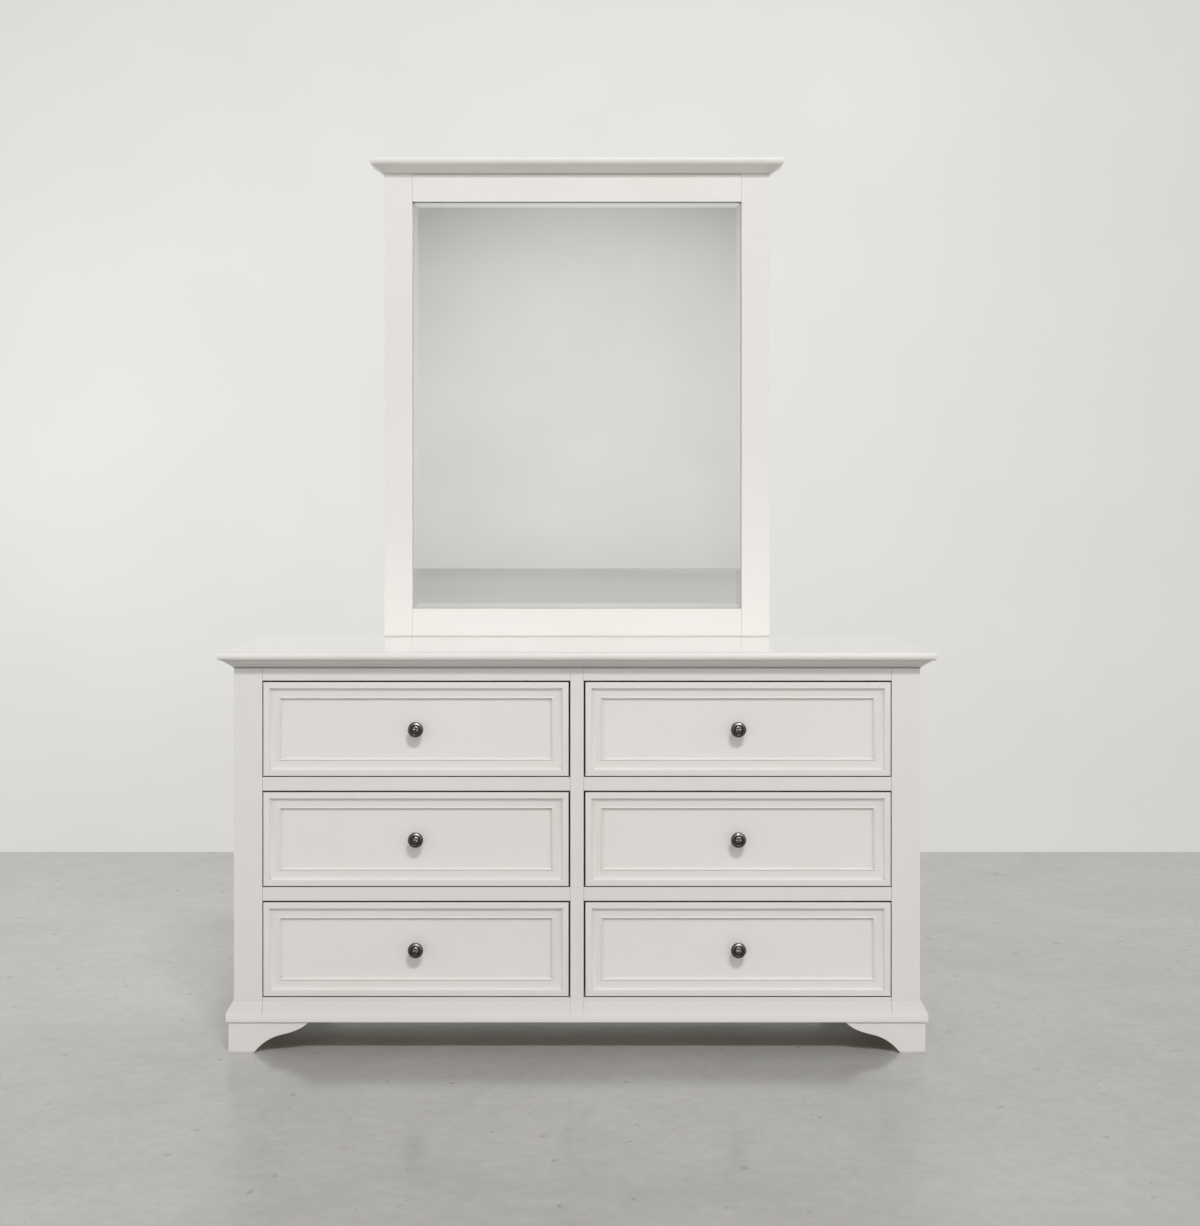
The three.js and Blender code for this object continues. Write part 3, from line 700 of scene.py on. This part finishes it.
def piece(name, solids, material, body, slot, *replaced):
    """One piece of the object, from closed solids given as vertices and faces in the shared frame."""
    vertices = []
    faces = []
    for points, sides in solids:
        start = len(vertices)
        vertices += points
        faces += [[start + i for i in side] for side in sides]
    obj = mesh_object(name, vertices, faces, material)
    shape = bmesh.new()
    shape.from_mesh(obj.data)
    bmesh.ops.recalc_face_normals(shape, faces=shape.faces)
    shape.to_mesh(obj.data)
    shape.free()
    obj.data.shade_smooth()
    obj.data.set_sharp_from_angle(angle=SMOOTH_ANGLE)
    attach(obj, body)
    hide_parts(*replaced)
    return obj


def skin(rings, closed_section=True):
    """A closed solid through rings of equal point count, with a flat cap at each end."""
    count = len(rings[0])
    sides = []
    for row in range(len(rings) - 1):
        for i in range(count):
            a = row * count + i
            b = row * count + (i + 1) % count
            sides.append([a, b, b + count, a + count])
    sides.append(list(range(count)))
    last = (len(rings) - 1) * count
    sides.append([last + i for i in range(count)])
    return [p for ring in rings for p in ring], sides


def prism(outline, low, high, place):
    """An outline swept from one value to another along the axis that it lacks."""
    return skin([[place(u, v, w) for u, v in outline] for w in (low, high)])


def board(low, high):
    """A plain board between two corners."""
    corners = [(low[0], low[1]), (high[0], low[1]), (high[0], high[1]), (low[0], high[1])]
    return prism(corners, low[2], high[2], lambda x, y, z: (x, y, z))


def curve(start, bend, end, steps=ARC_STEPS):
    """Points on a quadratic curve, without its first one."""
    points = []
    for i in range(1, steps + 1):
        t = i / steps
        points.append(tuple(
            (1 - t) ** 2 * a + 2 * t * (1 - t) * b + t ** 2 * c
            for a, b, c in zip(start, bend, end)
        ))
    return points


def arc(centre, radius, first, last, steps=ARC_STEPS):
    """Points on a circle's arc between two angles in degrees."""
    points = []
    for i in range(steps + 1):
        angle = math.radians(first + (last - first) * i / steps)
        points.append((centre[0] + radius * math.cos(angle), centre[1] + radius * math.sin(angle)))
    return points


def frame_ring(inset, depth, low, high):
    """A rectangle facing -Y, drawn in from the edges of a box and set back from its face."""
    y = low.y + depth
    return [
        (low.x + inset, y, low.z + inset), (high.x - inset, y, low.z + inset),
        (high.x - inset, y, high.z - inset), (low.x + inset, y, high.z - inset),
    ]


def trim_ring(overhang, height, half_width, front, back):
    """A three-sided path round the front of the case, at an overhang and a height."""
    side = half_width + overhang
    return [(-side, back, height), (-side, front - overhang, height),
            (side, front - overhang, height), (side, back, height)]


def edged_slab(profile, half_width, front, back):
    """A board whose front and side edges follow a profile."""
    return skin([trim_ring(o, z, half_width, front, back) for o, z in profile])


def mitred_strip(profile, half_width, front, back):
    """A moulding of one section round the front and sides, mitred at its corners."""
    corners = [trim_ring(o, z, half_width, front, back) for o, z in profile]
    return skin([[c[i] for c in corners] for i in range(4)])


def dress(node, material, ease=BOARD_EASE):
    """A CAD node keeps its shape, with a finish and slightly eased edges."""
    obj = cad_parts[node]
    obj.data.materials.clear()
    obj.data.materials.append(material)
    weld = obj.modifiers.new("weld", "WELD")
    weld.merge_threshold = MERGE_DISTANCE
    bevel = obj.modifiers.new("ease", "BEVEL")
    bevel.width = ease
    bevel.segments = EASE_SEGMENTS
    bevel.limit_method = "ANGLE"
    bevel.angle_limit = SMOOTH_ANGLE
    bevel.harden_normals = True


def front_profile():
    """The moulded edge of a drawer front, from its back edge in to its panel."""
    slope_start = FRONT_BORDER + COVE_RUN
    bead_start = slope_start + SLOPE_RUN
    panel_start = bead_start + BEAD_WIDTH
    slope_end = COVE_DROP + SLOPE_DROP
    points = arc((FRONT_EASE, FRONT_EASE), FRONT_EASE, 180, 270, FRONT_EASE_STEPS)
    points += arc((FRONT_BORDER - ARRIS, ARRIS), ARRIS, -90, ARRIS_TURN - 90, ARRIS_STEPS)
    steep = FRONT_BORDER + COVE_RUN * COVE_STEEP_SHARE
    points += curve(points[-1], (steep, COVE_DROP), (slope_start, COVE_DROP))
    points.append((bead_start, slope_end))
    crest = (bead_start + BEAD_WIDTH / 2, slope_end - 2 * BEAD_RISE)
    points += curve(points[-1], crest, (panel_start, slope_end))
    points += curve(
        points[-1], (panel_start + PANEL_RUN * PANEL_STEEP_SHARE, PANEL_RECESS),
        (panel_start + PANEL_RUN, PANEL_RECESS),
    )
    return points


def make_front(name, paint, panel_paint):
    """A drawer front, with its sunk panel in a lighter copy of the paint, as painted light."""
    node = f"drawer_front_{name}"
    low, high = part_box(node)
    rings = [frame_ring(0.0, high.y - low.y, low, high)]
    rings += [frame_ring(inset, depth, low, high) for inset, depth in front_profile()]
    obj = piece(f"front_{name}", [skin(rings)], paint, f"drawer_{name}", "painted_wood", node)
    obj.data.materials.append(panel_paint)
    # The last face of the skin is the panel
    obj.data.polygons[-1].material_index = 1


def knob_profile():
    """Radii and heights above the panel, from the foot up to the middle of the face."""
    points = [(KNOB_FOOT_RADIUS, GLUE_LINE), (KNOB_FOOT_RADIUS, KNOB_FOOT_HEIGHT / 2)]
    foot_bend = (KNOB_NECK_RADIUS, KNOB_FOOT_HEIGHT)
    points += curve(points[-1], foot_bend, (KNOB_NECK_RADIUS, KNOB_NECK_HEIGHT))
    neck_bend = (KNOB_NECK_RADIUS, KNOB_NECK_HEIGHT + KNOB_FOOT_HEIGHT)
    points += curve(points[-1], neck_bend, (KNOB_RADIUS, KNOB_RIM_HEIGHT))
    return points


def lathe(profile, axis_x, axis_z, face_y, relief=None, segments=KNOB_SEGMENTS):
    """Turns radii and heights about an axis along Y. Heights grow towards -Y."""
    rings = []
    for radius, height in profile:
        ring = []
        for i in range(segments):
            angle = 2 * math.pi * i / segments
            raised = height + (relief(radius, angle) if relief else 0.0)
            x = axis_x + radius * math.cos(angle)
            z = axis_z + radius * math.sin(angle)
            ring.append((x, face_y - raised, z))
        rings.append(ring)
    return skin(rings)


def rosette(radius, angle):
    """Petals raised round the middle of a knob's face."""
    outer = KNOB_RADIUS * ROSETTE_SHARE
    if radius >= outer:
        return 0.0
    share = radius / outer
    return PETAL_RELIEF * math.sin(math.pi * share) * (0.5 + 0.5 * math.cos(PETALS * angle))


def knob_face():
    """The face of the knob: a round rim, a bead, a hollow and a boss with a button."""
    rim_bend = (KNOB_RADIUS, KNOB_RIM_BEND)
    points = curve((KNOB_RADIUS, KNOB_RIM_HEIGHT), rim_bend, KNOB_RIM_EDGE, KNOB_RIM_STEPS)
    points += arc(KNOB_BEAD, KNOB_BEAD_RADIUS, KNOB_BEAD_START, 180, KNOB_FACE_STEPS)
    points += curve(points[-1], KNOB_HOLLOW, KNOB_BOSS_EDGE, KNOB_FACE_STEPS)
    points += curve(points[-1], KNOB_BOSS_SHOULDER, KNOB_BOSS_WAIST, KNOB_FACE_STEPS)
    button_bend = (KNOB_BOSS_WAIST[0] / 2, KNOB_BOSS_WAIST[1])
    points += curve(points[-1], button_bend, (KNOB_PIP_RADIUS, KNOB_BUTTON), KNOB_BUTTON_STEPS)
    points.append((KNOB_PIP_RADIUS / 4, KNOB_BUTTON))
    return points


def make_knob(name, metal):
    """A knob with the screw that holds it."""
    node = f"knob_{name}"
    low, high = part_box(node)
    x = (low.x + high.x) / 2
    z = (low.z + high.z) / 2
    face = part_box(f"drawer_front_{name}")[0].y + PANEL_RECESS
    inside = high.y - SCREW_HEAD_HEIGHT
    head = lathe(knob_profile() + knob_face(), x, z, face, rosette)
    shank_profile = [(SCREW_RADIUS, face - inside), (SCREW_RADIUS, GLUE_LINE)]
    shank = lathe(shank_profile, x, z, face, segments=SCREW_SEGMENTS)
    cap_profile = [(SCREW_HEAD_RADIUS, face - high.y), (SCREW_HEAD_RADIUS, face - inside)]
    cap = lathe(cap_profile, x, z, face, segments=SCREW_HEAD_SEGMENTS)
    return piece(f"pull_{name}", [head, shank, cap], metal, f"drawer_{name}", "knob_metal", node)


def make_box(name, side_wood, cross_wood):
    """A drawer box from five boards, each with the grain along its length."""
    node = f"drawer_box_{name}"
    low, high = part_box(node)
    inner_low = low + Vector((BOX_WALL, BOX_WALL, 0))
    inner_high = high - Vector((BOX_WALL, BOX_WALL, 0))
    seam = GLUE_LINE / 2
    left = inner_low.x + seam
    right = inner_high.x - seam
    bottom = low.z + BOX_BOTTOM_INSET
    sides = [
        board((low.x, low.y, low.z), (inner_low.x, high.y, high.z)),
        board((inner_high.x, low.y, low.z), (high.x, high.y, high.z)),
    ]
    cross = [
        board((left, low.y, low.z), (right, inner_low.y, high.z)),
        board((left, inner_high.y, low.z), (right, high.y, high.z - BOX_BACK_DROP)),
        board((left, inner_low.y + seam, bottom), (right, inner_high.y - seam, bottom + BOX_BOTTOM)),
    ]
    body = f"drawer_{name}"
    piece(f"box_sides_{name}", sides, side_wood, body, "drawer_box_wood", node)
    piece(f"box_cross_{name}", cross, cross_wood, body, "drawer_box_wood", node)


def make_top(paint):
    """The top board, with a rounded edge."""
    low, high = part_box("top_panel")
    half = high.x - TOP_OVERHANG
    front = low.y + TOP_OVERHANG
    under = (TOP_OVERHANG - TOP_UNDER_RADIUS, low.z + TOP_UNDER_RADIUS)
    nose = (TOP_OVERHANG - TOP_NOSE_RADIUS, high.z - TOP_NOSE_RADIUS)
    profile = arc(under, TOP_UNDER_RADIUS, -90, 0, TOP_UNDER_STEPS)
    profile += arc(nose, TOP_NOSE_RADIUS, 0, 90, TOP_NOSE_STEPS)
    slab = edged_slab(profile, half, front, high.y)
    piece("top_board", [slab], paint, "case", "painted_wood", "top_panel")


def make_top_moulding(paint):
    """A hollow moulding under the top, with a groove above its fillet."""
    low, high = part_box("top_moulding")
    reach = TOP_MOULDING_REACH
    half = high.x - reach
    front = low.y + reach
    seat = GLUE_LINE / 2
    bend = (
        (TOP_MOULDING_FOOT + reach) / 2 - TOP_MOULDING_HOLLOW,
        (low.z + high.z) / 2 + TOP_MOULDING_HOLLOW,
    )
    fillet = low.z + TOP_MOULDING_FILLET
    foot = fillet + TOP_MOULDING_QUIRK
    profile = [(seat, low.z), (TOP_MOULDING_FOOT, low.z), (TOP_MOULDING_FOOT, fillet)]
    profile += [(2 * seat, fillet), (2 * seat, foot), (TOP_MOULDING_FOOT, foot)]
    profile += curve(profile[-1], bend, (reach, high.z), TOP_MOULDING_STEPS)
    profile.append((seat, high.z))
    strip = mitred_strip(profile, half, front, high.y)
    piece("top_cove", [strip], paint, "case", "painted_wood", "top_moulding")


def lip_profile(overhang, low, inner):
    """The upright lip of the base moulding, from its inner edge round to its upper corner."""
    lip = low + LIP_HEIGHT
    return [
        (inner, low), (overhang - ARRIS, low), (overhang, low + ARRIS),
        (overhang, lip - ARRIS), (overhang - ARRIS / 2, lip),
    ]


def base_profile(overhang, shoulder, low, high, inner):
    """The lip, and the flare above it that dies into the case."""
    points = lip_profile(overhang, low, inner)
    bend = (overhang - shoulder, low + LIP_HEIGHT + FLARE_SHOULDER_RISE)
    points += curve(points[-1], bend, (FLARE_FOOT, high), FLARE_STEPS)
    return points + [(inner, high)]


def make_base(paint):
    """The base moulding, mitred at its corners and scored where the boards above it meet."""
    low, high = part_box("base_moulding")
    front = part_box("centre_stile")[0].y + LIP_FRONT_OVERHANG
    inner = GLUE_LINE / 2
    side = base_profile(LIP_SIDE_OVERHANG, FLARE_SIDE_SHOULDER, low.z, high.z, inner)
    face = base_profile(LIP_FRONT_OVERHANG, FLARE_FRONT_SHOULDER, low.z, high.z, inner)

    def at_back(x):
        return [(x * (CASE_HALF_WIDTH + o), high.y, z) for o, z in side]

    def at_corner(x):
        return [
            (x * (CASE_HALF_WIDTH + o), front - f, z)
            for (o, z), (f, _) in zip(side, face)
        ]

    def across(x, section):
        return [(x, front - f, z) for f, z in section]

    kerf = SEAM / 2
    joint = CASE_HALF_WIDTH - END_STILE_WIDTH
    bridge = CENTRE_STILE_WIDTH / 2 + kerf
    strips = []
    for sign in COLUMNS.values():
        strips.append(skin([at_back(sign), at_corner(sign), across(sign * (joint + kerf), face)]))
        strips.append(skin([across(sign * (joint - kerf), face), across(sign * bridge, face)]))
    lip = lip_profile(LIP_FRONT_OVERHANG, low.z, inner) + [(inner, low.z + LIP_HEIGHT)]
    spans = ((-joint - kerf, -joint + kerf), (-bridge, bridge), (joint - kerf, joint + kerf))
    for left, right in spans:
        strips.append(skin([across(left, lip), across(right, lip)]))
    piece("base_trim", strips, paint, "case", "painted_wood", "base_moulding")


def make_crown(paint):
    """The crown over the mirror: a step, then a round underside that runs into a rounded nose."""
    low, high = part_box("mirror_crown")
    half = high.x - CROWN_OVERHANG
    front = low.y + CROWN_OVERHANG
    step = low.z + CROWN_STEP_HEIGHT
    nose = high.z - CROWN_NOSE_RADIUS
    under = (CROWN_OVERHANG - CROWN_UNDER_RADIUS, nose)
    profile = [(CROWN_FOOT, low.z), (CROWN_STEP_OVERHANG, step)]
    profile.append((CROWN_STEP_OVERHANG, step + CROWN_STEP))
    profile += arc(under, CROWN_UNDER_RADIUS, -CROWN_UNDER_TURN, 0, CROWN_ARC_STEPS)[:-1]
    centre = (CROWN_OVERHANG - CROWN_NOSE_RADIUS, nose)
    profile += arc(centre, CROWN_NOSE_RADIUS, 0, 90, CROWN_ARC_STEPS)
    slab = edged_slab(profile, half, front, high.y)
    piece("crown_board", [slab], paint, "case", "painted_wood", "mirror_crown")


def make_glass(silver):
    """The pane, with a ground edge."""
    low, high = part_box("mirror_glass")
    thickness = high.y - low.y
    rings = [
        frame_ring(0.0, thickness, low, high),
        frame_ring(0.0, thickness - GLASS_EDGE, low, high),
        frame_ring(GLASS_COVER + GLASS_BEVEL, 0.0, low, high),
    ]
    obj = piece("mirror_pane", [skin(rings)], silver, "case", "mirror_silver", "mirror_glass")
    obj.data.shade_flat()


def make_stage():
    """The wall, the far side of the room and the floor, which it returns."""
    wall = mesh_object(
        "stage_wall",
        [(-WALL_REACH, WALL_Y, 0), (WALL_REACH, WALL_Y, 0),
         (WALL_REACH, WALL_Y, WALL_TOP), (-WALL_REACH, WALL_Y, WALL_TOP)],
        [[0, 1, 2, 3]], wall_finish(),
    )
    far_wall = mesh_object(
        "stage_far_wall",
        [(-FAR_WALL_REACH, FAR_WALL_Y, 0), (FAR_WALL_REACH, FAR_WALL_Y, 0),
         (FAR_WALL_REACH, FAR_WALL_Y, FAR_WALL_TOP), (-FAR_WALL_REACH, FAR_WALL_Y, FAR_WALL_TOP)],
        [[3, 2, 1, 0]], far_wall_finish(),
    )
    floor = mesh_object(
        "stage_floor",
        [(-FLOOR_REACH, FAR_WALL_Y, 0), (FLOOR_REACH, FAR_WALL_Y, 0),
         (FLOOR_REACH, WALL_Y, 0), (-FLOOR_REACH, WALL_Y, 0)],
        [[0, 1, 2, 3]], floor_finish(),
    )
    return floor


def make_lamp(name, power, width, height, place, target):
    lamp = bpy.data.lights.new(name, "AREA")
    lamp.shape = "RECTANGLE"
    lamp.size = width
    lamp.size_y = height
    lamp.energy = power
    obj = bpy.data.objects.new(name, lamp)
    obj.location = place
    obj.rotation_mode = "QUATERNION"
    obj.rotation_quaternion = (Vector(target) - Vector(place)).to_track_quat("-Z", "Y")
    bpy.context.scene.collection.objects.link(obj)
    return obj


def light_only(lamp, pieces):
    """Lets a lamp reach nothing but these pieces."""
    group = bpy.data.collections.new(lamp.name)
    for obj in pieces:
        group.objects.link(obj)
    lamp.light_linking.receiver_collection = group


def make_light(knobs, floor):
    """A key lamp under a soft sky, and helpers for the knobs, the mirror's foot and the floor beneath."""
    key = (LAMP_WIDTH, LAMP_HEIGHT, LAMP_PLACE, LAMP_TARGET)
    make_lamp("key", LAMP_POWER * (1 - GLINT_SHARE), *key).visible_glossy = False
    make_lamp("glint", LAMP_POWER * GLINT_SHARE, *key)
    knob_glint = make_lamp("knob_glint", LAMP_POWER * KNOB_GLINT_SHARE, *key)
    knob_glint.visible_diffuse = False
    light_only(knob_glint, knobs)
    top_low, top_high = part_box("top_panel")
    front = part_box("mirror_bottom_rail")[0].y
    middle = ((top_low.x + top_high.x) / 2, (top_low.y + front) / 2, top_high.z + SHEEN_LIFT)
    above = (middle[0], middle[1], middle[2] + 1.0)
    width = top_high.x - top_low.x
    sheen = make_lamp("sheen", SHEEN_POWER, width, front - top_low.y, middle, above)
    sheen.visible_glossy = False
    sheen.visible_camera = False
    floor_spot = (UNDER_PLACE[0], UNDER_PLACE[1], 0.0)
    under = make_lamp("under", UNDER_POWER, *UNDER_SIZE, UNDER_PLACE, floor_spot)
    under.data.color = UNDER_TINT
    under.visible_glossy = False
    under.visible_camera = False
    light_only(under, [floor])
    make_sky()


def make_sky():
    """A sky that is brightest low down."""
    world = bpy.data.worlds.new("studio")
    world.use_nodes = True
    tree = world.node_tree

    def math_node(operation, first, second):
        node = tree.nodes.new("ShaderNodeMath")
        node.operation = operation
        for socket, value in zip(node.inputs, (first, second)):
            if isinstance(value, bpy.types.NodeSocket):
                tree.links.new(value, socket)
            else:
                socket.default_value = value
        return node.outputs["Value"]

    axes = tree.nodes.new("ShaderNodeSeparateXYZ")
    direction = tree.nodes.new("ShaderNodeTexCoord").outputs["Generated"]
    tree.links.new(direction, axes.inputs["Vector"])
    rise = math_node("MAXIMUM", axes.outputs["Z"], 0.0)
    low = math_node("POWER", math_node("SUBTRACT", 1.0, rise), SKY_CURVE)
    strength = math_node("ADD", math_node("MULTIPLY", low, SKY_FALL), SKY_TOP)
    sky = tree.nodes["Background"]
    sky.inputs["Color"].default_value = SKY_COLOR
    tree.links.new(strength, sky.inputs["Strength"])
    bpy.context.scene.world = world


def make_camera():
    """A level camera that sees the photograph's frame."""
    camera = bpy.data.cameras.new("camera")
    camera.sensor_width = SENSOR_WIDTH
    camera.lens = FOCAL_PIXELS * camera.sensor_width / PHOTO_HEIGHT
    camera.shift_x = (PHOTO_WIDTH / 2 - VANISHING_X) / PHOTO_HEIGHT
    camera.shift_y = (HORIZON_Y - PHOTO_HEIGHT / 2) / PHOTO_HEIGHT
    obj = bpy.data.objects.new("camera", camera)
    obj.location = (0.0, CAMERA_Y, EYE_HEIGHT)
    obj.rotation_euler = (math.radians(90), 0.0, 0.0)
    bpy.context.scene.collection.objects.link(obj)
    bpy.context.scene.camera = obj


# The case's paint darkens its joints and gaps as painted shade
paint = painted_wood("painted_wood", JOINT_CREVICE)
side_wood = wood("drawer_side_wood", MAPLE, "Y", MAPLE_ROUGHNESS)
cross_wood = wood("drawer_cross_wood", MAPLE, "X", MAPLE_ROUGHNESS)
runner_wood = wood("runner_wood", PINE, "Y", PINE_ROUGHNESS)
upright_wood = wood("upright_wood", PINE, "Z", PINE_ROUGHNESS)
long_wood = wood("long_wood", PINE, "X", PINE_ROUGHNESS)
back_board = hardboard()
metal = knob_metal()
# Copies of the paint with painted light and shade: the fronts and panels are lifted lighter, the mirror
# frame darker, and the reveal's strong crevice paints shade along the mirror's top rail
front_paint = painted_wood("painted_front", FRONT_CREVICE, lift=FRONT_PAINTED_LIGHT)
panel_paint = painted_wood("painted_panel", FRONT_CREVICE, lift=PANEL_PAINTED_LIGHT)
mirror_paint = painted_wood("painted_mirror", SOFT_CREVICE, lift=MIRROR_PAINTED_SHADE)
reveal_paint = painted_wood("painted_reveal", REVEAL_CREVICE)

BOARD_FINISH = {
    "back_panel": back_board, "mirror_backing": back_board, "back_rail": long_wood,
    "bottom_panel": long_wood, "centre_partition": runner_wood,
    "mirror_support_left": upright_wood, "mirror_support_right": upright_wood,
}
# The top's polished face is lifted lighter as painted light, and the cove under it takes a broad painted
# shade besides the joints'
make_top(painted_wood("painted_top", JOINT_CREVICE, rubbed=True))
make_top_moulding(painted_wood("painted_cove", JOINT_CREVICE, COVE_CREVICE))
make_base(paint)
make_crown(mirror_paint)
make_glass(mirror_silver())
knobs = []
for row in ROWS:
    for column in COLUMNS:
        name = f"{row}_{column}"
        make_front(name, front_paint, panel_paint)
        knobs.append(make_knob(name, metal))
        make_box(name, side_wood, cross_wood)
for node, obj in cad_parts.items():
    if obj.hide_render:
        continue
    if node in BOARD_FINISH:
        dress(node, BOARD_FINISH[node])
    elif node.startswith("runner_frame"):
        dress(node, runner_wood)
    elif node.startswith("mirror"):
        # The mirror's top rail takes the paint with the stronger painted shade in its reveal
        dress(node, reveal_paint if node == "mirror_top_rail" else mirror_paint, MIRROR_EASE)
    else:
        dress(node, paint)
make_light(knobs, make_stage())
make_camera()
bpy.context.scene.view_settings.view_transform = "Standard"
